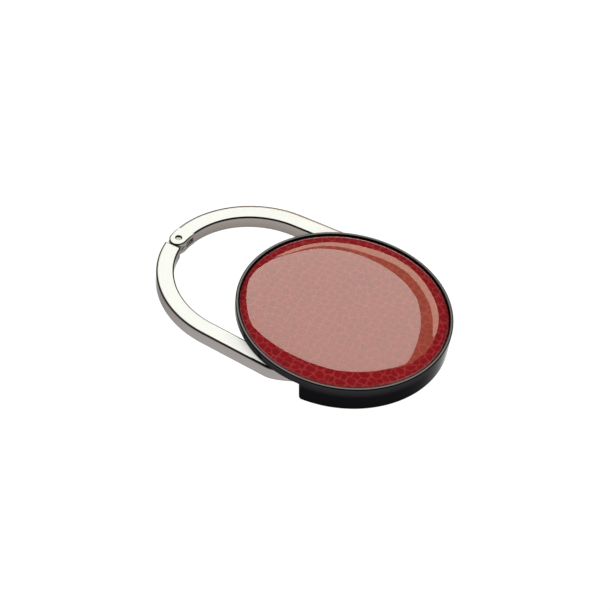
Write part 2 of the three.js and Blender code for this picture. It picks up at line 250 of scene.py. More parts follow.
class PurseHookColours(PropertyGroup):
    """Colours of the visible finishes, linear."""

    leather: FloatVectorProperty(
        name="Leather",
        description="Colour of the leather's cells",
        subtype="COLOR",
        size=3,
        default=(0.230, 0.0012, 0.0056),
    )
    leather_line: FloatVectorProperty(
        name="Leather lines",
        description="Colour of the lines between the leather's cells",
        subtype="COLOR",
        size=3,
        default=(0.320, 0.0290, 0.0300),
    )
    gunmetal: FloatVectorProperty(
        name="Gunmetal",
        description="Colour of the polished rim",
        subtype="COLOR",
        size=3,
        default=(0.122, 0.112, 0.119),
    )
    chrome: FloatVectorProperty(
        name="Chrome",
        description="Colour of the arms' polished faces",
        subtype="COLOR",
        size=3,
        default=(0.530, 0.500, 0.562),
    )
    # Painted shade: the arms' sides take this colour, darker than their level faces
    chrome_shaded_side: FloatVectorProperty(
        name="Chrome sides",
        description="Colour of the arms' satin sides",
        subtype="COLOR",
        size=3,
        default=(0.290, 0.262, 0.236),
    )


class PurseHookStage(PropertyGroup):
    """Light and view."""

    panel: FloatProperty(
        name="Panel",
        description="Brightness of the soft panel that the level faces mirror",
        default=1.8,
        min=0.0,
    )
    horizon: FloatProperty(
        name="Horizon",
        description="Brightness of the surroundings near the horizon",
        default=1.02,
        min=0.0,
    )
    sky: FloatProperty(
        name="Upper surroundings",
        description="Brightness of the surroundings high above",
        default=0.7,
        min=0.0,
    )
    key: FloatProperty(
        name="Key lamp",
        description="Strength of the wide main lamp",
        default=1.68,
        min=0.0,
    )
    fill: FloatProperty(
        name="Fill lamp",
        description="Strength of the wide second lamp",
        default=0.5,
        min=0.0,
    )
    floor_drop: FloatProperty(
        name="Floor depth",
        description="How far the floor lies below the object, so that the folded loop clears it",
        default=0.07,
        unit="LENGTH",
    )


# ---------------------------------------------------------------- surfaces


def patch(points, rows_closed=False, columns_closed=False, tone=1.0):
    """A grid of points (rows, columns, 3) as points, quads and one tone for each point.

    Quad (i, j) joins the grid points (i, j), (i + 1, j), (i + 1, j + 1) and (i, j + 1), counted round where
    the grid is closed.
    """
    rows, columns = points.shape[:2]
    i, j = np.meshgrid(
        np.arange(rows if rows_closed else rows - 1),
        np.arange(columns if columns_closed else columns - 1),
        indexing="ij",
    )
    i_next, j_next = (i + 1) % rows, (j + 1) % columns
    corners = [i * columns + j, i_next * columns + j, i_next * columns + j_next, i * columns + j_next]
    quads = np.stack(corners, axis=-1).reshape(-1, 4)
    tones = np.broadcast_to(tone, (rows, columns)).reshape(-1)
    return points.reshape(-1, 3), quads, tones


def turned(profile, count, tone=1.0, on_fold_axis=False):
    """A profile of (radius, height) pairs carried round an axis as one patch.

    Upright axis: x = r cos t, y = r sin t, z = h. Fold axis: x = hinge + r cos t, z = hinge + r sin t, y = h.
    t goes once round in equal steps.
    """
    profile = np.asarray(profile, float)
    t = np.linspace(0.0, 2.0 * np.pi, count, endpoint=False)
    radius, height = profile[:, :1], profile[:, 1:]
    across, along = radius * np.cos(t), radius * np.sin(t)
    height = np.broadcast_to(height, across.shape)
    if on_fold_axis:
        points = np.stack([HINGE_X + across, height, HINGE_Z + along], axis=-1)
    else:
        points = np.stack([across, along, height], axis=-1)
    tone = np.broadcast_to(np.asarray(tone, float), (len(profile),))[:, None]
    return patch(points, columns_closed=True, tone=tone)


def turned_sections(sections, count):
    """Sections of a profile, each with its tone or tones, joined and turned round the upright axis."""
    profile = np.concatenate([points for points, _ in sections])
    tones = np.concatenate([np.broadcast_to(tone, len(points)) for points, tone in sections])
    return turned(profile, count, tones)


def quarter(centre, radius, start, steps=6):
    """Points of a quarter circle about centre, from the start angle in degrees, turning left."""
    turn = np.radians(start + np.linspace(0.0, 90.0, steps + 1))
    return np.stack([centre[0] + radius * np.cos(turn), centre[1] + radius * np.sin(turn)], axis=-1)


def rounded_sections(width, height, corners, bands):
    """Rounded rectangles, one for each station, as distances across and up.

    Each corner is a quarter circle of its own radius, at most the corner share of the shorter side, in the
    order outer low, outer high, inner high, inner low. The bands set a point on the flat before and after
    each quarter, at most the band share of the shorter side away, and there the flat's own tone begins.
    """
    least = np.minimum(width, height)[:, None]
    width, height = width[:, None], height[:, None]
    turn = np.radians(np.linspace(0.0, 90.0, CORNER_STEPS + 1))
    across, up = [], []
    for index, (side, level) in enumerate([(1, 0), (1, 1), (0, 1), (0, 0)]):
        radius = np.minimum(corners[index], CORNER_SHARE * least)
        before, after = (np.minimum(band, BAND_SHARE * least) for band in bands[index])
        first = math.radians(90 * index - 90)
        last = first + math.pi / 2
        arc = side * width + (1 - 2 * side) * radius + radius * np.cos(first + turn)
        across += [arc[:, :1] + before * math.sin(first), arc, arc[:, -1:] - after * math.sin(last)]
        arc = level * height + (1 - 2 * level) * radius + radius * np.sin(first + turn)
        up += [arc[:, :1] - before * math.cos(first), arc, arc[:, -1:] + after * math.cos(last)]
    return np.concatenate(across, axis=1), np.concatenate(up, axis=1)


def section_tones(outer_low, outer_high, inner_high, inner_low, high_edge_shade):
    """Tone of each point of a rounded section: level faces at 1, the given sides and the dark edges."""
    # Painted shade: darker sides and dark lines on the edges
    flats = [
        (1.0, LOW_EDGE_SHADE_TONE, outer_low),
        (outer_high, high_edge_shade, 1.0),
        (1.0, high_edge_shade, inner_high),
        (inner_low, LOW_EDGE_SHADE_TONE, 1.0),
    ]
    return np.concatenate([[before, *[edge] * (CORNER_STEPS + 1), after] for before, edge, after in flats])


def ribbon(inner, outer, low, high, corners, tones, closed=False, bands=EDGE_SHADE_BANDS, start_tone=1.0):
    """A rounded rectangular section carried along a path, between two plan lines and two heights.

    Point (station, k) is inner + across[k] * (outer - inner) / width in plan and low + up[k] in height. An
    open ribbon's ends run together at their middle, which closes them with a flat cap. Its start takes the
    start tone, a painted shadow where it is below 1. The tone of a level face is raised by the share of the
    painted reflection plate at its station's distance from the rest's axis.
    """
    run = outer - inner
    width = np.linalg.norm(run, axis=1)
    across, up = rounded_sections(width, high - low, corners, bands)
    plan = inner[:, None, :] + (run / width[:, None])[:, None, :] * across[..., None]
    points = np.concatenate([plan, (low[:, None] + up)[..., None]], axis=2)
    if not closed:
        ends = [np.broadcast_to(end.mean(axis=0), end.shape)[None] for end in (points[0], points[-1])]
        points = np.concatenate([ends[0], points, ends[1]])
    tones = np.tile(tones, (len(points), 1))
    if not closed:
        tones[:2] = np.minimum(tones[:2], start_tone)
    # Painted reflection: level faces near the rest turn into the pale matt plate
    middle = points[..., :2].mean(axis=1, keepdims=True)
    satin = np.interp(np.hypot(middle[..., 0], middle[..., 1]), PAINTED_REFLECTION_DISTANCES, PAINTED_REFLECTION_SHARES)
    tones = np.where(tones > LEVEL_TONE, tones + satin, tones)
    return patch(points, rows_closed=closed, columns_closed=True, tone=tones)


def place_object(name, data):
    """A new object in the scene, at the origin."""
    item = bpy.data.objects.new(name, data)
    bpy.context.scene.collection.objects.link(item)
    return item


def add_piece(name, patches, material, body, nodes):
    """Joins patches into one smooth mesh, welds it and turns its faces outwards."""
    starts = np.cumsum([0] + [len(points) for points, _, _ in patches[:-1]])
    points = np.concatenate([points for points, _, _ in patches]) * MM
    quads = np.concatenate([quads + start for (_, quads, _), start in zip(patches, starts)])
    mesh = bpy.data.meshes.new(name)
    mesh.from_pydata(points, [], quads)
    mesh.attributes.new("tone", "FLOAT", "POINT").data.foreach_set(
        "value", np.concatenate([tones for _, _, tones in patches]).astype(np.float32)
    )
    work = bmesh.new()
    work.from_mesh(mesh)
    bmesh.ops.remove_doubles(work, verts=work.verts[:], dist=WELD_DISTANCE)
    bmesh.ops.recalc_face_normals(work, faces=work.faces[:])
    work.to_mesh(mesh)
    work.free()
    mesh.shade_smooth()
    mesh.set_sharp_from_angle(angle=SHARP_ANGLE)
    mesh.materials.append(material)
    piece = place_object(name, mesh)
    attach(piece, body)
    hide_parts(*nodes)


def finish_nodes(material, *nodes):
    """Puts a material on every slot of the CAD nodes that stay in view."""
    for name in nodes:
        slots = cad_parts[name].data.materials
        if not slots:
            slots.append(material)
        for index in range(len(slots)):
            slots[index] = material


# ---------------------------------------------------------------- materials

# Linear colours of the finishes that have no setting. The edge colours are painted dark lines of shade, the
# gunmetal side colour is painted shade, and the pale plate is painted in place of the chrome's bright
# reflection
CHROME_EDGE_SHADE = (0.03, 0.025, 0.021)
PAINTED_REFLECTION_PLATE = (0.84, 0.835, 0.80)
GUNMETAL_EDGE_SHADE = (0.002, 0.002, 0.002)
GUNMETAL_SHADED_SIDE = (0.0052, 0.0047, 0.0058)
STEEL = (0.55, 0.54, 0.52)
NICKEL = (0.6, 0.57, 0.52)
BRASS = (0.62, 0.42, 0.17)
RUBBER = (0.012, 0.012, 0.013)
FILM = (0.72, 0.71, 0.68)
NYLON = (0.74, 0.73, 0.7)
RESIN = (1.0, 0.992, 0.985, 1.0)
RESIN_PASSING = (0.97, 0.96, 0.95, 1.0)

RESIN_IOR = 1.65
COVER_SHADE = 0.35

# Levels between which most of a noise lies
NOISE_MIDDLE = (0.3, 0.7)


def scaled(colour, share):
    """A colour with every channel times a share."""
    return tuple(share * channel for channel in colour)


def add(tree, kind, values=None, **settings):
    """Adds a node, sets its options, and links or sets each named input."""
    node = tree.nodes.new(kind)
    for name, value in settings.items():
        setattr(node, name, value)
    for key, value in (values or {}).items():
        if isinstance(value, bpy.types.NodeSocket):
            tree.links.new(value, node.inputs[key])
        else:
            node.inputs[key].default_value = value
    return node


def empty_tree(owner):
    """The nodes of a material or a world, cleared."""
    owner.use_nodes = True
    owner.node_tree.nodes.clear()
    return owner.node_tree


def new_material(name):
    """An empty material, its nodes, its shader, its output, and object coordinates in millimetres."""
    material = bpy.data.materials.new(name)
    tree = empty_tree(material)
    shader = add(tree, "ShaderNodeBsdfPrincipled")
    output = add(tree, "ShaderNodeOutputMaterial", {"Surface": shader.outputs["BSDF"]})
    place = add(tree, "ShaderNodeTexCoord").outputs["Object"]
    place = add(tree, "ShaderNodeMapping", {"Vector": place, "Scale": (1 / MM,) * 3}).outputs["Vector"]
    return material, tree, shader, output, place


def noise(tree, place, scale, detail=2.0):
    """Noise from 0 to 1 with so many waves to the millimetre."""
    values = {"Vector": place, "Scale": scale, "Detail": detail}
    return add(tree, "ShaderNodeTexNoise", values).outputs["Fac"]


def span(tree, value, low, high, to_low=0.0, to_high=1.0, smooth=False):
    """Maps low..high to to_low..to_high, clamped."""
    values = {"Value": value, "From Min": low, "From Max": high, "To Min": to_low, "To Max": to_high}
    kind = "SMOOTHSTEP" if smooth else "LINEAR"
    return add(tree, "ShaderNodeMapRange", values, interpolation_type=kind).outputs["Result"]


def uneven(tree, value, to_low=0.0, to_high=1.0):
    """Maps the middle levels of a noise to to_low..to_high."""
    return span(tree, value, *NOISE_MIDDLE, to_low, to_high)


def tone_of(tree):
    """The piece's own tone."""
    return add(tree, "ShaderNodeAttribute", attribute_name="tone").outputs["Fac"]


def grey(tree, value):
    """A value as a colour."""
    return add(tree, "ShaderNodeCombineColor", {0: value, 1: value, 2: value}).outputs[0]


def blend_colour(tree, factor, first, second, mode="MIX"):
    """Mixes two colours by a factor."""
    rgba = [value if isinstance(value, bpy.types.NodeSocket) else (*value, 1.0) for value in (first, second)]
    values = {0: factor, 6: rgba[0], 7: rgba[1]}
    return add(tree, "ShaderNodeMix", values, data_type="RGBA", blend_type=mode).outputs[2]


def combine(tree, operation, first, second):
    """Arithmetic on two values."""
    return add(tree, "ShaderNodeMath", {0: first, 1: second}, operation=operation).outputs[0]


def bump(tree, shader, height, depth, strength=1.0):
    """Relief of the given depth in millimetres."""
    relief = add(tree, "ShaderNodeBump", {"Height": height, "Distance": depth * MM, "Strength": strength})
    tree.links.new(relief.outputs["Normal"], shader.inputs["Normal"])


def toned_metal(name, stops, roughness, worn=0.12, grazing=0.5, painted_reflection_plate=None):
    """Plated metal whose colour follows the piece's tone through three stops of (tone, colour).

    Where a plate is named, the polished metal turns into it from tone 1 to tone 2: metallic = 2 - tone. The
    plate is a pale matt colour painted in place of a bright reflection, and the stops paint shade on edges
    and sides.
    Slow noise shifts the brightness a little, and fine noise gives polishing marks in roughness and relief.
    """
    mark_roughness = 0.05
    material, tree, shader, _, place = new_material(name)
    tone = tone_of(tree)
    ramp = add(tree, "ShaderNodeValToRGB", {"Fac": tone})
    elements = ramp.color_ramp.elements
    elements.new(stops[1][0])
    for element, (position, colour) in zip(elements, stops):
        element.position, element.color = position, (*colour, 1.0)
    cloud = grey(tree, uneven(tree, noise(tree, place, scale=0.35), 1.0 - worn / 2, 1.0))
    colour = blend_colour(tree, 1.0, ramp.outputs["Color"], cloud, "MULTIPLY")
    shader.inputs["Metallic"].default_value = 1.0
    # Painted reflection: above tone 1 the metal turns into the pale matt plate
    if painted_reflection_plate is not None:
        satin = span(tree, tone, 1.0, 2.0)
        colour = blend_colour(tree, satin, colour, painted_reflection_plate)
        tree.links.new(combine(tree, "SUBTRACT", 1.0, satin), shader.inputs["Metallic"])
    tree.links.new(colour, shader.inputs["Base Color"])
    shader.inputs["Specular Tint"].default_value = (grazing, grazing, grazing, 1.0)
    marks = noise(tree, place, scale=9.0, detail=4.0)
    rough = span(tree, marks, low=0.3, high=0.75, to_low=roughness, to_high=roughness + mark_roughness)
    tree.links.new(rough, shader.inputs["Roughness"])
    bump(tree, shader, marks, depth=0.0006)
    return material


def plain_metal(name, colour, roughness, ring=None):
    """Small metal part: noise in colour and roughness, and turning marks as rings round the given axis."""
    worn_share, mark_roughness, ring_share = 0.8, 0.14, 0.6
    material, tree, shader, _, place = new_material(name)
    cloud = uneven(tree, noise(tree, place, scale=1.1, detail=4.0))
    tree.links.new(blend_colour(tree, cloud, colour, scaled(colour, worn_share)), shader.inputs["Base Color"])
    shader.inputs["Metallic"].default_value = 1.0
    marks = noise(tree, place, scale=7.0, detail=3.0)
    if ring is not None:
        values = {"Vector": place, "Scale": 2.2, "Distortion": 1.5, "Detail": 2.0}
        wave = add(tree, "ShaderNodeTexWave", values, wave_type="RINGS", rings_direction=ring).outputs["Fac"]
        wave = combine(tree, "MULTIPLY", wave, ring_share)
        marks = combine(tree, "ADD", wave, combine(tree, "MULTIPLY", marks, 1.0 - ring_share))
    rough = span(tree, marks, low=0.2, high=0.8, to_low=roughness, to_high=roughness + mark_roughness)
    tree.links.new(rough, shader.inputs["Roughness"])
    bump(tree, shader, marks, depth=0.004)
    return material


def moulded(name, colour, roughness, grain, depth):
    """Rubber, nylon or film: matt, with a fine moulded grain and a slight unevenness of colour."""
    speckle, lift, grain_roughness = 0.1, 0.004, 0.08
    material, tree, shader, _, place = new_material(name)
    cloud = uneven(tree, noise(tree, place, scale=0.8, detail=4.0))
    lighter = tuple(channel + lift for channel in scaled(colour, 1.0 + speckle))
    tree.links.new(blend_colour(tree, cloud, colour, lighter), shader.inputs["Base Color"])
    fine = noise(tree, place, grain, detail=3.0)
    rough = uneven(tree, fine, roughness - grain_roughness, roughness + grain_roughness)
    tree.links.new(rough, shader.inputs["Roughness"])
    bump(tree, shader, fine, depth)
    return material


def embossed_leather(name, colour, line_colour, cell):
    """Dark red leather with rounded embossed cells and paler lines between them.

    Cells are Voronoi cells on coordinates shifted by noise. The nearest point's distance over the second's
    gives the rounded lines and the relief. The piece's tone paints shade on the margin, under the rim.
    """
    bend, contrast, grain_relief = 0.9, 0.09, 0.15
    material, tree, shader, _, place = new_material(name)
    values = {"Vector": place, "Scale": 0.55, "Detail": 1.0}
    shift = add(tree, "ShaderNodeTexNoise", values).outputs["Color"]
    shift = add(tree, "ShaderNodeVectorMath", {0: shift, 1: (0.5, 0.5, 0.5)}, operation="SUBTRACT").outputs[0]
    shift = add(tree, "ShaderNodeVectorMath", {0: shift, "Scale": bend}, operation="SCALE").outputs[0]
    bent = add(tree, "ShaderNodeVectorMath", {0: place, 1: shift}, operation="ADD").outputs[0]
    cells_at = {"Vector": bent, "Scale": MM / cell, "Randomness": 0.72}
    nearest = add(tree, "ShaderNodeTexVoronoi", cells_at, voronoi_dimensions="2D", feature="F1")
    second = add(tree, "ShaderNodeTexVoronoi", cells_at, voronoi_dimensions="2D", feature="F2")
    ratio = combine(tree, "DIVIDE", nearest.outputs["Distance"], second.outputs["Distance"])
    tint = add(tree, "ShaderNodeSeparateColor", {0: nearest.outputs["Color"]}).outputs[0]
    line = span(tree, ratio, low=0.66, high=0.93, smooth=True)
    cells = blend_colour(tree, tint, scaled(colour, 1.0 - contrast), scaled(colour, 1.0 + contrast))
    grain = noise(tree, place, scale=6.0, detail=4.0)
    flecks = span(tree, grain, low=0.35, high=0.7, to_high=0.25)
    cells = blend_colour(tree, flecks, cells, line_colour)
    surface = blend_colour(tree, line, cells, line_colour)
    # Painted shade on the leather's margin and edge, under the rim
    surface = blend_colour(tree, 1.0, surface, grey(tree, tone_of(tree)), "MULTIPLY")
    tree.links.new(surface, shader.inputs["Base Color"])
    tree.links.new(uneven(tree, grain, to_low=0.42, to_high=0.6), shader.inputs["Roughness"])
    shader.inputs["Specular IOR Level"].default_value = 0.05
    crown = span(tree, ratio, low=0.35, high=0.95, to_low=1.0, to_high=0.0, smooth=True)
    relief = combine(tree, "ADD", crown, combine(tree, "MULTIPLY", grain, grain_relief))
    bump(tree, shader, relief, depth=0.06, strength=0.8)
    return material


def clear_resin(name):
    """Clear polished resin. Lamps and scattered light pass straight through it, so the leather stays lit."""
    material, tree, shader, output, place = new_material(name)
    for key, value in (
        ("Base Color", RESIN),
        ("Transmission Weight", 1.0),
        ("IOR", RESIN_IOR),
        ("Coat Weight", 1.0),
        ("Coat Roughness", 0.0),
        ("Coat IOR", RESIN_IOR),
    ):
        shader.inputs[key].default_value = value
    waves = noise(tree, place, scale=0.25, detail=1.0)
    tree.links.new(uneven(tree, waves, to_high=0.006), shader.inputs["Roughness"])
    bump(tree, shader, waves, depth=0.001)
    path = add(tree, "ShaderNodeLightPath")
    through = combine(tree, "MAXIMUM", path.outputs["Is Shadow Ray"], path.outputs["Is Diffuse Ray"])
    window = add(tree, "ShaderNodeBsdfTransparent", {"Color": RESIN_PASSING})
    values = {0: through, 1: shader.outputs["BSDF"], 2: window.outputs["BSDF"]}
    mixed = add(tree, "ShaderNodeMixShader", values)
    tree.links.new(mixed.outputs["Shader"], output.inputs["Surface"])
    return material


def finish(name):
    """The named material, made the first time that it is asked for."""
    if name in bpy.data.materials and bpy.data.materials[name].get("purse_hook"):
        return bpy.data.materials[name]
    colours = bpy.context.scene.purse_hook_colours
    cell = bpy.context.scene.purse_hook_sizes.leather_cell
    leather, leather_line = tuple(colours.leather), tuple(colours.leather_line)
    gunmetal, chrome, chrome_shaded_side = tuple(colours.gunmetal), tuple(colours.chrome), tuple(colours.chrome_shaded_side)
    # The stops paint shade: the dark line of an edge and the darker side
    chrome_stops = [(0.0, CHROME_EDGE_SHADE), (0.5, chrome_shaded_side), (1.0, chrome)]
    gunmetal_stops = [(0.0, GUNMETAL_EDGE_SHADE), (0.5, GUNMETAL_SHADED_SIDE), (RING_TONE, gunmetal)]
    makers = {
        "bright_chrome": lambda key: toned_metal(
            key, chrome_stops, roughness=0.06, worn=0.06, painted_reflection_plate=PAINTED_REFLECTION_PLATE
        ),
        "gunmetal_plate": lambda key: toned_metal(key, gunmetal_stops, roughness=0.1, grazing=0.55),
        "gunmetal_cover": lambda key: plain_metal(key, scaled(gunmetal, COVER_SHADE), roughness=0.3),
        "red_leather": lambda key: embossed_leather(key, leather, leather_line, cell),
        "clear_resin": clear_resin,
        "black_rubber": lambda key: moulded(key, RUBBER, roughness=0.8, grain=9.0, depth=0.012),
        "plain_steel": lambda key: plain_metal(key, STEEL, roughness=0.28, ring="Z"),
        "nickel_plate": lambda key: plain_metal(key, NICKEL, roughness=0.2),
        "brass": lambda key: plain_metal(key, BRASS, roughness=0.25, ring="Y"),
        "white_film": lambda key: moulded(key, FILM, roughness=0.6, grain=4.0, depth=0.004),
        "white_nylon": lambda key: moulded(key, NYLON, roughness=0.5, grain=8.0, depth=0.004),
    }
    material = makers[name](name)
    material["purse_hook"] = True
    return material


# ---------------------------------------------------------------- shapes


def side_radius(z):
    """Radius of the rest's side: disc - taper * s ** power, s being the share of the depth below the top."""
    share = np.clip((RIM_TOP - np.asarray(z, float)) / (RIM_TOP - SKIRT_LOW), 0.0, 1.0)
    return DISC_RADIUS - SKIRT_TAPER * share**TAPER_POWER


def rim_patches(sizes):
    """Rim, flange and deck as one closed turned profile, with the tone of its faces.

    The profile runs out along the underside, up the side, over the outer edge's quarter circle, in along the
    top and over the inner edge's quarter circle, and down the recess to the middle of the deck.
    """
    side_points = 7
    outer, inner = sizes.rim_round / MM, sizes.recess_round / MM
    heights = np.linspace(FLANGE_LOW, RIM_TOP - outer, side_points)
    side = np.stack([side_radius(heights), heights], axis=-1)
    ring_low = RIM_TOP - RING_DISH
    underside = [[0.0, FLANGE_LOW], [side_radius(FLANGE_LOW) - EDGE_LINE, FLANGE_LOW]]
    outer_edge = quarter((DISC_RADIUS - outer, RIM_TOP - outer), outer, 0.0)[1:]
    ring = [[DISC_RADIUS - outer - EDGE_LINE, RIM_TOP], [RECESS_RADIUS + inner + INNER_EDGE_LINE, ring_low]]
    inner_edge = quarter((RECESS_RADIUS + inner, ring_low - inner), inner, 90.0, steps=4)
    recess = [
        [RECESS_RADIUS, ring_low - inner - INNER_EDGE_LINE],
        [RECESS_RADIUS, DECK_TOP + INNER_EDGE_LINE],
        [RECESS_RADIUS, DECK_TOP],
        [0.0, DECK_TOP],
    ]
    # The tones paint shade: dark lines on the edges, shadow down the recess, and a darker underside and side
    sections = [
        (underside, UNDERSIDE_SHADE_TONE),
        (side, np.linspace(*SHADED_SIDE_TONES, side_points)),
        (outer_edge, RIM_EDGE_SHADE_TONE),
        (ring, RING_TONE),
        (inner_edge, INNER_EDGE_SHADE_TONE),
        (recess, RIM_EDGE_SHADE_TONE),
    ]
    return [turned_sections(sections, DISC_POINTS)]


def skirt_patches():
    """Skirt below the flange: inner and outer radii over height, swept over the angles where it exists.

    x = r cos a, y = r sin a, with a between plus and minus acos(notch(z) / r), in steps that shrink towards
    both ends. notch(z) leans away in step with the depth and bends away at the bottom as a quarter circle.
    The bottom's outer edge is a quarter circle too.
    """
    round_points, side_points, sweep_points, sweep_power = 9, 24, 181, 1.25
    turn = np.linspace(0.0, np.pi / 2, round_points)
    round_top = SKIRT_LOW + SKIRT_ROUND
    z = np.concatenate(
        [SKIRT_LOW + SKIRT_ROUND * (1 - np.cos(turn)), np.linspace(round_top, FLANGE_LOW, side_points)[1:]]
    )
    round_radius = side_radius(round_top) - SKIRT_ROUND * (1 - np.sin(turn))
    outer = np.concatenate([round_radius, side_radius(z[round_points:])])
    inner = np.full_like(outer, SKIRT_INNER)
    above = np.clip(SKIRT_LOW + NOTCH_CORNER - z, 0.0, NOTCH_CORNER)
    height_share = (z - SKIRT_LOW) / (FLANGE_LOW - SKIRT_LOW)
    notch = NOTCH_X + NOTCH_CORNER - np.sqrt(NOTCH_CORNER**2 - above**2) + NOTCH_SLANT * (1 - height_share)
    share = np.linspace(-1.0, 1.0, sweep_points)
    share = np.sign(share) * (1 - (1 - np.abs(share)) ** sweep_power)
    # Painted shade: the skirt darkens towards its foot
    tone = np.interp(height_share, SKIRT_HEIGHT_SHARES, SKIRT_SHADE_TONES)

    def shell(radius):
        angle = np.arccos(notch / radius)[:, None] * share
        radius, height = radius[:, None], np.broadcast_to(z[:, None], angle.shape)
        return np.stack([radius * np.cos(angle), radius * np.sin(angle), height], axis=-1)

    outside, inside = shell(outer), shell(inner)
    sides = [patch(points, tone=tone[:, None]) for points in (outside, inside)]
    levels = [patch(np.stack([outside[row], inside[row]]), tone=tone[row]) for row in (0, -1)]
    ends = [patch(np.stack([outside[:, end], inside[:, end]]), tone=tone) for end in (0, -1)]
    return sides + levels + ends


def wall_outline(inset):
    """Plan of the wall under the deck: a wide arc at the skirt, a notch for each leg and a narrower arc."""
    wide_points, narrow_points = 121, 81
    wide, narrow = WALL_RADIUS - inset, BAY_RADIUS - inset
    side, notch = MAGNET_FACE - inset, NOTCH_X + WALL_NOTCH_GAP + inset
    wide_angle, narrow_angle = math.acos(notch / wide), math.asin(side / narrow)
    wide_turn = np.linspace(-wide_angle, wide_angle, wide_points)
    narrow_turn = np.pi + np.linspace(-narrow_angle, narrow_angle, narrow_points)
    return np.concatenate(
        [
            np.stack([wide * np.cos(wide_turn), wide * np.sin(wide_turn)], axis=-1),
            [[notch, side]],
            np.stack([narrow * np.cos(narrow_turn), narrow * np.sin(narrow_turn)], axis=-1),
            [[notch, -side]],
        ]
    )


def wall_patches():
    """The wall's plan carried up as a closed ring: outer line, inner line, bottom and top."""
    outline, inside = (wall_outline(inset) for inset in WALL_FACE_INSETS)
    rings = [(inside, FLANGE_LOW), (inside, WALL_LOW), (outline, WALL_LOW), (outline, FLANGE_LOW)]
    points = np.stack([np.column_stack([line, np.full(len(line), level)]) for line, level in rings])
    # The wall takes a tone of painted shade
    return [patch(points, rows_closed=True, columns_closed=True, tone=WALL_SHADE_TONE)]


def leg_line(radius, x):
    """Distance from the middle of a leg's straight edge, which goes on from the circle at the splay angle."""
    return radius / math.cos(SPLAY) + (x - LOOP_X) * math.tan(SPLAY)


def arm_bar(side, corner):
    """One arm from its shoulder at the crown to its rounded, bevelled end on the fold axis.

    Crown: x = centre + r cos a, y = side * r sin a, for the inner and outer radius, a from the shoulder to
    the start of the leg. Leg: straight, with the outer edge running in along a quadratic curve. The hinged
    arm is wider on its outer side from the crown to the bevel. Height: full, and past the fold axis
    half height = sqrt(R^2 - (x - hinge)^2).
    """
    crown_points, leg_points, end_points, bevel_points = 97, 57, 15, 201
    start_in = np.pi - math.asin(SLOT_DEPTH / LOOP_INNER)
    start_out = np.pi - math.asin(SLOT_DEPTH / LOOP_OUTER)
    end = np.pi / 2 + SPLAY
    s = np.linspace(0.0, 1.0, crown_points)
    turn_in, turn_out = start_in + (end - start_in) * s, start_out + (end - start_out) * s
    crown_in = np.stack([LOOP_X + LOOP_INNER * np.cos(turn_in), LOOP_INNER * np.sin(turn_in)], axis=-1)
    crown_out = np.stack([LOOP_X + LOOP_OUTER * np.cos(turn_out), LOOP_OUTER * np.sin(turn_out)], axis=-1)
    half = (ARM_TOP - ARM_LOW) / 2
    rounding = HINGE_X + half * np.sin(np.linspace(0.0, np.pi / 2, end_points))
    x = np.concatenate([np.linspace(crown_in[-1, 0], HINGE_X, leg_points)[1:], rounding[1:]])
    share = (x - crown_in[-1, 0]) / (TIP_X - crown_in[-1, 0])
    x_out = x + (1 - share) * (crown_out[-1, 0] - crown_in[-1, 0])
    bevel_x = TIP_X - BEVEL_LENGTH
    control_x = bevel_x + BEVEL_LENGTH * BEVEL_SHARE
    t = np.linspace(0.0, 1.0, bevel_points)
    weights = np.stack([(1 - t) ** 2, 2 * t * (1 - t), t**2], axis=-1)
    tip_y = leg_line(LOOP_INNER, TIP_X) + TIP_WIDTH
    edge = [(place, leg_line(LOOP_OUTER, place)) for place in (bevel_x, control_x)]
    curve = weights @ np.array([*edge, (TIP_X, tip_y)])
    y_out = np.where(x_out < bevel_x, leg_line(LOOP_OUTER, x_out), np.interp(x_out, curve[:, 0], curve[:, 1]))
    inner = np.concatenate([crown_in, np.stack([x, leg_line(LOOP_INNER, x)], axis=-1)])
    outer = np.concatenate([crown_out, np.stack([x_out, y_out], axis=-1)])
    if side > 0:
        places = [LOOP_X - EXTRA_GROWS[0], LOOP_X - EXTRA_GROWS[1], bevel_x, TIP_X]
        outer[:, 1] += HINGED_ARM_EXTRA * np.interp(outer[:, 0], places, [0.0, 1.0, 1.0, 0.0])
    rise = np.sqrt(np.maximum(half**2 - np.maximum(x - HINGE_X, 0.0) ** 2, TIP_HALF**2))
    rise = np.concatenate([np.full(len(s), half), rise])
    flip = np.array([1.0, side])
    # Painted shade: sides darker than the level faces and darkest low on the inner side, and dark lines on
    # the edges
    tones = section_tones(outer_low=0.62, outer_high=0.58, inner_high=0.56, inner_low=0.4, high_edge_shade=0.05)
    corners = [corner * share for share in BAR_CORNER_SHARES]
    bands, start_tone = (HINGED_SHADE_BANDS, 1.0) if side > 0 else (EDGE_SHADE_BANDS, SWING_START_SHADE_TONE)
    plan = (inner * flip, outer * flip)
    return ribbon(*plan, HINGE_Z - rise, HINGE_Z + rise, corners, tones, bands=bands, start_tone=start_tone)


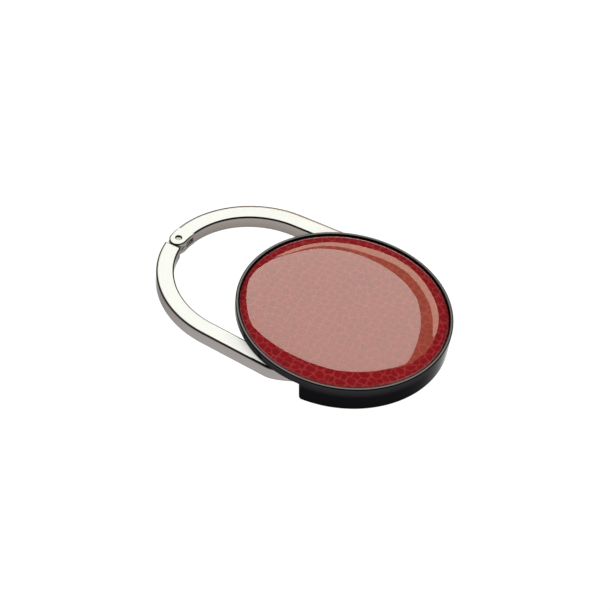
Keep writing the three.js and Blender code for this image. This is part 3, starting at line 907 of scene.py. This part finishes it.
def crown_plate(side, hole, low, high, corners, far_reach=ARM_WIDTH / 2):
    """A plate of the crown hinge: a closed ribbon from the rivet's hole out to the arm's outline.

    Its reach at the angle a from the rivet is the least of the loop's outer circle, the loop's inner circle
    and the line where it is buried in its own arm. On the other side it is half an ellipse.
    """
    own_points, far_points, flat = 120, 60, 1e-9
    own_angle = np.linspace(0.0, np.pi, own_points, endpoint=False)
    far_angle = np.linspace(np.pi, 2 * np.pi, far_points, endpoint=False)
    angle = np.concatenate([own_angle, far_angle])
    direction = np.stack([np.cos(angle), np.sin(angle)], axis=-1)
    offset = RIVET_X - LOOP_X
    along = direction[:, 0] * offset
    far = -along + np.sqrt(along**2 - offset**2 + LOOP_OUTER**2)
    inside = along**2 - offset**2 + LOOP_INNER**2
    near = np.where((inside > 0) & (along < 0), -along - np.sqrt(np.maximum(inside, 0.0)), np.inf)
    buried = (SLOT_DEPTH + PLATE_LAP) / np.maximum(direction[:, 1], flat)
    own = np.minimum(np.minimum(far, near), np.where(direction[:, 1] > 0, buried, np.inf))
    ellipse = 1 / np.hypot(direction[:, 0] / (ARM_WIDTH / 2), direction[:, 1] / far_reach)
    reach = np.where(direction[:, 1] > flat, own, ellipse)
    centre = np.array([RIVET_X, 0.0])
    flip = np.array([1.0, side])
    inner = (centre + direction * hole) * flip
    outer = (centre + direction * reach[:, None]) * flip
    # Painted shade: darker sides and dark lines on the edges
    tones = section_tones(outer_low=0.5, outer_high=0.58, inner_high=0.45, inner_low=0.45, high_edge_shade=0.03)
    low, high = np.full(len(angle), low), np.full(len(angle), high)
    return ribbon(inner, outer, low, high, corners, tones, closed=True)


def hinged_arm_patches(corner):
    """Bar, the two cheeks of its fork, and its boss on the fold axis."""
    fine, edge, hole = PLATE_ROUND, CHEEK_CORNER_SHARE * corner, RIVET_RADIUS + CHEEK_GAP
    boss = [
        [0.0, BOSS_FACE],
        [BOSS_RADIUS - BOSS_EDGE, BOSS_FACE],
        [BOSS_RADIUS, BOSS_FACE + BOSS_EDGE],
        [BOSS_RADIUS, BOSS_FACE + HINGE_BOSS_DEPTH],
        [0.0, BOSS_FACE + HINGE_BOSS_DEPTH],
    ]
    return [
        arm_bar(1.0, corner),
        crown_plate(1.0, hole, SLOT_TOP, ARM_TOP - PLATE_SKIN, [fine, edge, fine, fine], CHEEK_REACH),
        crown_plate(1.0, hole, ARM_LOW + PLATE_SKIN, SLOT_LOW, [edge, fine, fine, fine], CHEEK_REACH),
        turned(boss, BOSS_POINTS, BOSS_SHADE_TONE, on_fold_axis=True),
    ]


def swing_arm_patches(corner):
    """Bar, its tongue between the cheeks, and its boss with the pocket for the keeper."""
    hole = RIVET_RADIUS + TONGUE_GAP
    boss = [
        [0.0, -LATCH_FACE - LATCH_BOSS_DEPTH],
        [BOSS_RADIUS, -LATCH_FACE - LATCH_BOSS_DEPTH],
        [BOSS_RADIUS, -LATCH_FACE - BOSS_EDGE],
        [BOSS_RADIUS - BOSS_EDGE, -LATCH_FACE],
        [POCKET_RADIUS, -LATCH_FACE],
        [POCKET_RADIUS, -LATCH_FACE - POCKET_DEPTH],
        [0.0, -LATCH_FACE - POCKET_DEPTH],
    ]
    return [
        arm_bar(-1.0, corner),
        crown_plate(-1.0, hole, HINGE_Z - TONGUE_HALF, HINGE_Z + TONGUE_HALF, [PLATE_ROUND] * 4),
        turned(boss, BOSS_POINTS, BOSS_SHADE_TONE, on_fold_axis=True),
    ]


def rivet_patches():
    """Rivet through the fork, turned, with a quarter circle at each end's edge."""
    low, high = frame_box("crown_rivet")[0][2], frame_box("crown_rivet")[1][2]
    middle = RIVET_RADIUS - RIVET_ROUND
    profile = np.concatenate(
        [
            [[0.0, low]],
            quarter((middle, low + RIVET_ROUND), RIVET_ROUND, -90.0, steps=4),
            quarter((middle, high - RIVET_ROUND), RIVET_ROUND, 0.0, steps=4),
            [[0.0, high]],
        ]
    )
    points, quads, tones = turned(profile, BOSS_POINTS, RIVET_TONE)
    return [(points + [RIVET_X, 0.0, 0.0], quads, tones)]


def leather_patches():
    """Leather disc, turned, with a quarter circle at its upper edge and tones that darken towards it."""
    corner = (LEATHER_RADIUS - LEATHER_ROUND, LEATHER_TOP - LEATHER_ROUND)
    sections = [
        # The edge tone and the margin tones paint shade under the rim
        ([[0.0, TAPE_TOP], [LEATHER_RADIUS, TAPE_TOP]], LEATHER_EDGE_SHADE_TONE),
        (quarter(corner, LEATHER_ROUND, 0.0, steps=5), LEATHER_EDGE_SHADE_TONE),
        ([[LEATHER_RADIUS - distance, LEATHER_TOP] for distance in LEATHER_MARGIN], LEATHER_MARGIN_SHADE_TONES),
        ([[0.0, LEATHER_TOP]], 1.0),
    ]
    return [turned_sections(sections, DISC_POINTS)]


def dome_patches(power):
    """Clear cap: z = base + h (1 - (r / R)^p)^(1 / 2). Its level base is sunk a little into the leather."""
    turn = np.linspace(0.0, np.pi / 2, DOME_POINTS)
    radius = DOME_RADIUS * np.cos(turn) ** (2.0 / power)
    radius[-1] = 0.0
    base = LEATHER_TOP - DOME_SUNK
    height = base + (DOME_TOP - base) * np.sin(turn)
    profile = np.concatenate([[[0.0, base]], np.stack([radius, height], axis=-1)])
    return [turned(profile, DISC_POINTS)]


# ---------------------------------------------------------------- operators


class PURSEHOOK_OT_housing(Operator):
    """Adds the rim with its deck, the skirt and the wall under the deck."""

    bl_idname = "purse_hook.housing"
    bl_label = "Housing"

    def execute(self, context):
        material = finish("gunmetal_plate")
        sizes = context.scene.purse_hook_sizes
        for name, patches in (
            ("housing_rim", rim_patches(sizes)),
            ("housing_skirt", skirt_patches()),
            ("housing_wall", wall_patches()),
        ):
            add_piece(name, patches, material, "rest", ["housing"])
        return {"FINISHED"}


class PURSEHOOK_OT_inlay(Operator):
    """Adds the leather disc and finishes the film under it."""

    bl_idname = "purse_hook.inlay"
    bl_label = "Leather inlay"

    def execute(self, context):
        leather = finish("red_leather")
        add_piece("leather_disc", leather_patches(), leather, "rest", ["leather_inlay"])
        finish_nodes(finish("white_film"), "inlay_tape")
        return {"FINISHED"}


class PURSEHOOK_OT_dome(Operator):
    """Adds the clear dome over the leather."""

    bl_idname = "purse_hook.dome"
    bl_label = "Clear dome"

    def execute(self, context):
        patches = dome_patches(context.scene.purse_hook_sizes.dome_power)
        add_piece("clear_dome", patches, finish("clear_resin"), "rest", ["resin_dome"])
        return {"FINISHED"}


class PURSEHOOK_OT_underside(Operator):
    """Finishes the cover, its screws and the rubber pad."""

    bl_idname = "purse_hook.underside"
    bl_label = "Cover and pad"

    def execute(self, context):
        finish_nodes(finish("gunmetal_cover"), "bottom_cover")
        finish_nodes(finish("plain_steel"), "cover_screw_1", "cover_screw_2", "cover_screw_3")
        finish_nodes(finish("black_rubber"), "foot_pad")
        return {"FINISHED"}


class PURSEHOOK_OT_arms(Operator):
    """Adds the two curved arms of the loop."""

    bl_idname = "purse_hook.arms"
    bl_label = "Loop arms"

    def execute(self, context):
        material = finish("bright_chrome")
        corner = context.scene.purse_hook_sizes.arm_round / MM
        hinged, swing = hinged_arm_patches(corner), swing_arm_patches(corner)
        add_piece("loop_arm_hinged", hinged, material, "loop", ["hinged_arm"])
        add_piece("loop_arm_swing", swing, material, "opening_arm", ["swing_arm"])
        return {"FINISHED"}


class PURSEHOOK_OT_crown(Operator):
    """Adds the crown rivet and finishes the thin washers beside the tongue."""

    bl_idname = "purse_hook.crown"
    bl_label = "Crown hinge"

    def execute(self, context):
        add_piece("rivet", rivet_patches(), finish("bright_chrome"), "loop", ["crown_rivet"])
        finish_nodes(finish("white_nylon"), "crown_shim_upper", "crown_shim_lower")
        return {"FINISHED"}


class PURSEHOOK_OT_fold(Operator):
    """Finishes the fold hinge and the magnet latch."""

    bl_idname = "purse_hook.fold"
    bl_label = "Fold hinge and latch"

    def execute(self, context):
        finish_nodes(finish("plain_steel"), "fold_pin", "disc_spring", "retaining_clip", "keeper_plug")
        finish_nodes(finish("brass"), "fold_bush")
        finish_nodes(finish("nickel_plate"), "latch_magnet")
        finish_nodes(finish("white_nylon"), "fold_washer")
        return {"FINISHED"}


# ---------------------------------------------------------------- stage

# Camera: turned from the front, raised above the horizon, rolled, distance and offsets in millimetres
VIEW_TURN = math.radians(21.763)
VIEW_RISE = math.radians(45.251)
VIEW_ROLL = math.radians(9.09)
VIEW_DISTANCE = 320.6
VIEW_FOCUS_PIXELS = 1580.0
VIEW_AIM = (-8.093, -0.816, 6.5)
IMAGE_WIDTH = 610.0
SENSOR_WIDTH = 36.0
CLIP_METRES = (0.01, 200.0)

# Lamps: spread in degrees and where the light comes from
KEY_SPREAD, KEY_FROM = 70.0, (-0.35, -0.45, 1.0)
FILL_SPREAD, FILL_FROM = 90.0, (0.6, 0.5, 0.7)

# Floor: reach in metres, the paper's colour, and the glow that view and mirrors see, with its share
FLOOR_REACH = 60.0
PAPER = (0.9, 0.9, 0.9, 1.0)
FLOOR_GLOW, FLOOR_GLOW_SHARE = 1.12, 0.6

# Surroundings: the horizon ends between two rises. In mirrors the upper surroundings dim to two shares of
# their brightness between two cosines to the photograph's viewpoint, and all but end round the panels.
WHITE = (1.0, 1.0, 1.0, 1.0)
HORIZON_RISES = (0.1, 0.3)
VIEWPOINT_COSINES, VIEWPOINT_SHARES = (0.5, 0.8), (0.6, 0.15)
FLAG_COSINES, FLAG_SHARE = (0.67, 0.77), 0.06

# Panels: name, share of the panel's brightness, distance and outline in millimetres
MAIN_PANEL = [
    (-136, 70), (-142, 11), (-153, -28), (-166, -74), (-126, -80), (-71, -67), (-41, -54), (-14, -52),
    (8, -42), (25, -32), (40, -23), (50, -14), (54, -3), (60, 14), (67, 31), (82, 66), (48, 69), (14, 73),
    (-20, 66), (-92, 72),
]
STRIP = [
    (-76, -75), (-53, -82), (-34, -92), (-14, -98), (5, -93), (24, -88), (45, -93), (68, -86), (79, -74),
    (90, -54), (101, -45), (109, -33), (115, -17), (119, 0), (121, 9), (110, 19), (97, 12), (93, 7), (86, -2),
    (79, -12), (74, -22), (66, -29), (60, -37), (50, -46), (38, -49), (20, -49), (7, -57), (-9, -66),
    (-26, -65), (-43, -59),
]
DIM_SHEET = [
    (-71, -67), (-43, -61), (-26, -67), (-9, -68), (7, -59), (20, -51), (38, -51), (50, -48), (60, -39),
    (66, -31), (74, -24), (79, -14), (86, -4), (95, 7), (125, 16), (120, 45), (100, 75), (70, 75), (40, 30),
    (20, -10), (-20, -40),
]
PANELS = (
    ("main_panel", (0.945, 1.0, 0.85), 400.0, MAIN_PANEL),
    ("strip_panel", (0.92, 0.79, 0.58), 402.0, STRIP),
    ("dim_panel", (0.265, 0.205, 0.108), 404.0, DIM_SHEET),
)


def view_axes():
    """The camera's level right axis, its up axis before the roll, and the axis back to it from the object."""
    a, e = VIEW_TURN, VIEW_RISE
    right = np.array([math.cos(a), math.sin(a), 0.0])
    up = np.array([-math.sin(a) * math.sin(e), math.cos(a) * math.sin(e), math.cos(e)])
    back = np.array([math.sin(a) * math.cos(e), -math.cos(a) * math.cos(e), math.sin(e)])
    return right, up, back


def mirrored_view():
    """Direction that a level mirror sends the view to."""
    back = view_axes()[2]
    return np.array([-back[0], -back[1], back[2]])


def facing(tree, direction, axis):
    """Cosine between a direction and a fixed axis."""
    values = {0: direction, 1: tuple(axis)}
    return add(tree, "ShaderNodeVectorMath", values, operation="DOT_PRODUCT").outputs["Value"]


def add_sheet(name, corners, material):
    """A flat stage sheet from its corners in metres."""
    mesh = bpy.data.meshes.new(name)
    mesh.from_pydata(corners, [], [tuple(range(len(corners)))])
    mesh.materials.append(material)
    sheet = place_object(name, mesh)
    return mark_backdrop(sheet) or sheet


def add_sun(name, strength, spread, direction):
    """A wide lamp that shines from the given direction and isn't mirrored."""
    lamp = bpy.data.lights.new(name, "SUN")
    lamp.energy = strength
    lamp.angle = math.radians(spread)
    back = np.array(direction, float)
    back /= np.linalg.norm(back)
    side = np.cross([0.0, 1.0, 0.0], back)
    side /= np.linalg.norm(side)
    rows = np.column_stack([side, np.cross(back, side), back])
    holder = place_object(name, lamp)
    holder.matrix_world = Matrix([[*row, 0.0] for row in rows] + [[0, 0, 0, 1]])
    holder.visible_glossy = False


class PURSEHOOK_OT_stage(Operator):
    """Adds the floor, the soft panels, the lamps, the surroundings and the camera."""

    bl_idname = "purse_hook.stage"
    bl_label = "Stage"

    def execute(self, context):
        stage = context.scene.purse_hook_stage
        self.add_floor(stage)
        self.add_panels(stage)
        add_sun("key_lamp", stage.key, KEY_SPREAD, KEY_FROM)
        add_sun("fill_lamp", stage.fill, FILL_SPREAD, FILL_FROM)
        self.add_surroundings(context.scene, stage)
        self.add_camera(context.scene)
        context.scene.view_settings.view_transform = "Standard"
        return {"FINISHED"}

    def add_floor(self, stage):
        """Pale floor: plain paper that shows near white in view and in mirrors and keeps the shadow."""
        material = bpy.data.materials.new("floor_paper")
        tree = empty_tree(material)
        paper = add(tree, "ShaderNodeBsdfDiffuse", {"Color": PAPER})
        glow = add(tree, "ShaderNodeEmission", {"Color": WHITE, "Strength": FLOOR_GLOW})
        path = add(tree, "ShaderNodeLightPath")
        seen = combine(tree, "MAXIMUM", path.outputs["Is Camera Ray"], path.outputs["Is Glossy Ray"])
        seen = combine(tree, "MAXIMUM", seen, path.outputs["Is Transmission Ray"])
        share = combine(tree, "MULTIPLY", seen, FLOOR_GLOW_SHARE)
        values = {0: share, 1: paper.outputs["BSDF"], 2: glow.outputs["Emission"]}
        mixed = add(tree, "ShaderNodeMixShader", values)
        add(tree, "ShaderNodeOutputMaterial", {"Surface": mixed.outputs["Shader"]})
        signs = [(-1, -1), (1, -1), (1, 1), (-1, 1)]
        corners = [(x * FLOOR_REACH, y * FLOOR_REACH, -stage.floor_drop) for x, y in signs]
        add_sheet("floor", corners, material)

    def add_panels(self, stage):
        """Soft panels where the level faces mirror them, square to the mirrored view.

        Each is a flat sheet whose outline is given in millimetres to the right and up from the mirrored view.
        The narrow strip and the dim sheet behind the main panel give the dome its second line of light.
        """
        mirror, right = mirrored_view(), view_axes()[0]
        up = np.cross(right, mirror)
        for name, share, distance, outline in PANELS:
            material = bpy.data.materials.new(name)
            tree = empty_tree(material)
            colour = (*scaled(share, 1.0 / max(share)), 1.0)
            glow = add(tree, "ShaderNodeEmission", {"Color": colour, "Strength": stage.panel * max(share)})
            add(tree, "ShaderNodeOutputMaterial", {"Surface": glow.outputs["Emission"]})
            middle = mirror * distance + np.array([0.0, 0.0, RIM_TOP])
            plan = np.array(outline, float)
            corners = (middle + plan[:, :1] * right + plan[:, 1:] * up) * MM
            sheet = add_sheet(name, corners.tolist(), material)
            sheet.visible_camera = False
            sheet.visible_shadow = False

    def add_surroundings(self, scene, stage):
        """A studio's surroundings: brightness = horizon (1 - s) + upper s, with s rising from 0 to 1.

        Scattered light meets the plain upper surroundings. Mirrors see them dimmer, and dimmest towards the
        photograph's viewpoint, as in a studio that is dark behind the camera. Black flags stand round the
        panels.
        """
        scene.world = bpy.data.worlds.new("studio")
        tree = empty_tree(scene.world)
        direction = add(tree, "ShaderNodeTexCoord").outputs["Generated"]
        rise = add(tree, "ShaderNodeSeparateXYZ", {0: direction}).outputs["Z"]
        behind = facing(tree, direction, view_axes()[2])
        shares = [share * stage.sky for share in VIEWPOINT_SHARES]
        behind = span(tree, behind, *VIEWPOINT_COSINES, *shares, smooth=True)
        mirrored = add(tree, "ShaderNodeLightPath").outputs["Is Glossy Ray"]
        above = span(tree, mirrored, 0.0, 1.0, stage.sky, behind)
        towards = facing(tree, direction, mirrored_view())
        flags = span(tree, towards, *FLAG_COSINES, to_low=1.0, to_high=FLAG_SHARE, smooth=True)
        above = combine(tree, "MULTIPLY", above, flags)
        share = span(tree, rise, *HORIZON_RISES, smooth=True)
        level = combine(tree, "MULTIPLY", combine(tree, "SUBTRACT", 1.0, share), stage.horizon)
        strength = combine(tree, "ADD", level, combine(tree, "MULTIPLY", above, share))
        background = add(tree, "ShaderNodeBackground", {"Color": WHITE, "Strength": strength})
        add(tree, "ShaderNodeOutputWorld", {"Surface": background.outputs["Background"]})

    def add_camera(self, scene):
        """Camera at the photograph's angle, without shift or depth of field."""
        right, up, back = view_axes()
        place = VIEW_DISTANCE * back + VIEW_AIM[0] * right + VIEW_AIM[1] * up
        place[2] += VIEW_AIM[2]
        across = right * math.cos(VIEW_ROLL) + up * math.sin(VIEW_ROLL)
        rise = up * math.cos(VIEW_ROLL) - right * math.sin(VIEW_ROLL)
        camera = bpy.data.cameras.new("camera")
        camera.sensor_width = SENSOR_WIDTH
        camera.lens = SENSOR_WIDTH * VIEW_FOCUS_PIXELS / IMAGE_WIDTH
        camera.clip_start, camera.clip_end = CLIP_METRES
        holder = place_object("camera", camera)
        rows = np.column_stack([across, rise, back, place * MM])
        holder.matrix_world = Matrix([*rows.tolist(), [0.0, 0.0, 0.0, 1.0]])
        scene.camera = holder


OPERATORS = (
    PURSEHOOK_OT_housing,
    PURSEHOOK_OT_inlay,
    PURSEHOOK_OT_dome,
    PURSEHOOK_OT_underside,
    PURSEHOOK_OT_arms,
    PURSEHOOK_OT_crown,
    PURSEHOOK_OT_fold,
    PURSEHOOK_OT_stage,
)


class PURSEHOOK_PT_sidebar(Panel):
    """Lists the settings and the building steps."""

    bl_idname = "PURSEHOOK_PT_sidebar"
    bl_label = "Purse hook"
    bl_space_type = "VIEW_3D"
    bl_region_type = "UI"
    bl_category = "Purse hook"

    def draw(self, context):
        layout = self.layout
        for group in (
            context.scene.purse_hook_sizes,
            context.scene.purse_hook_colours,
            context.scene.purse_hook_stage,
        ):
            column = layout.column(align=True)
            for name in group.bl_rna.properties.keys():
                if name not in ("rna_type", "name"):
                    column.prop(group, name)
        column = layout.column(align=True)
        for operator in OPERATORS:
            column.operator(operator.bl_idname)


GROUPS = (PurseHookSizes, PurseHookColours, PurseHookStage)


def register():
    for cls in (*GROUPS, *OPERATORS, PURSEHOOK_PT_sidebar):
        bpy.utils.register_class(cls)
    bpy.types.Scene.purse_hook_sizes = PointerProperty(type=PurseHookSizes)
    bpy.types.Scene.purse_hook_colours = PointerProperty(type=PurseHookColours)
    bpy.types.Scene.purse_hook_stage = PointerProperty(type=PurseHookStage)


def unregister():
    del bpy.types.Scene.purse_hook_stage
    del bpy.types.Scene.purse_hook_colours
    del bpy.types.Scene.purse_hook_sizes
    for cls in reversed((*GROUPS, *OPERATORS, PURSEHOOK_PT_sidebar)):
        bpy.utils.unregister_class(cls)


def main():
    register()
    bpy.ops.purse_hook.housing()
    bpy.ops.purse_hook.inlay()
    bpy.ops.purse_hook.dome()
    bpy.ops.purse_hook.underside()
    bpy.ops.purse_hook.arms()
    bpy.ops.purse_hook.crown()
    bpy.ops.purse_hook.fold()
    bpy.ops.purse_hook.stage()


if __name__ == "__main__":
    main()
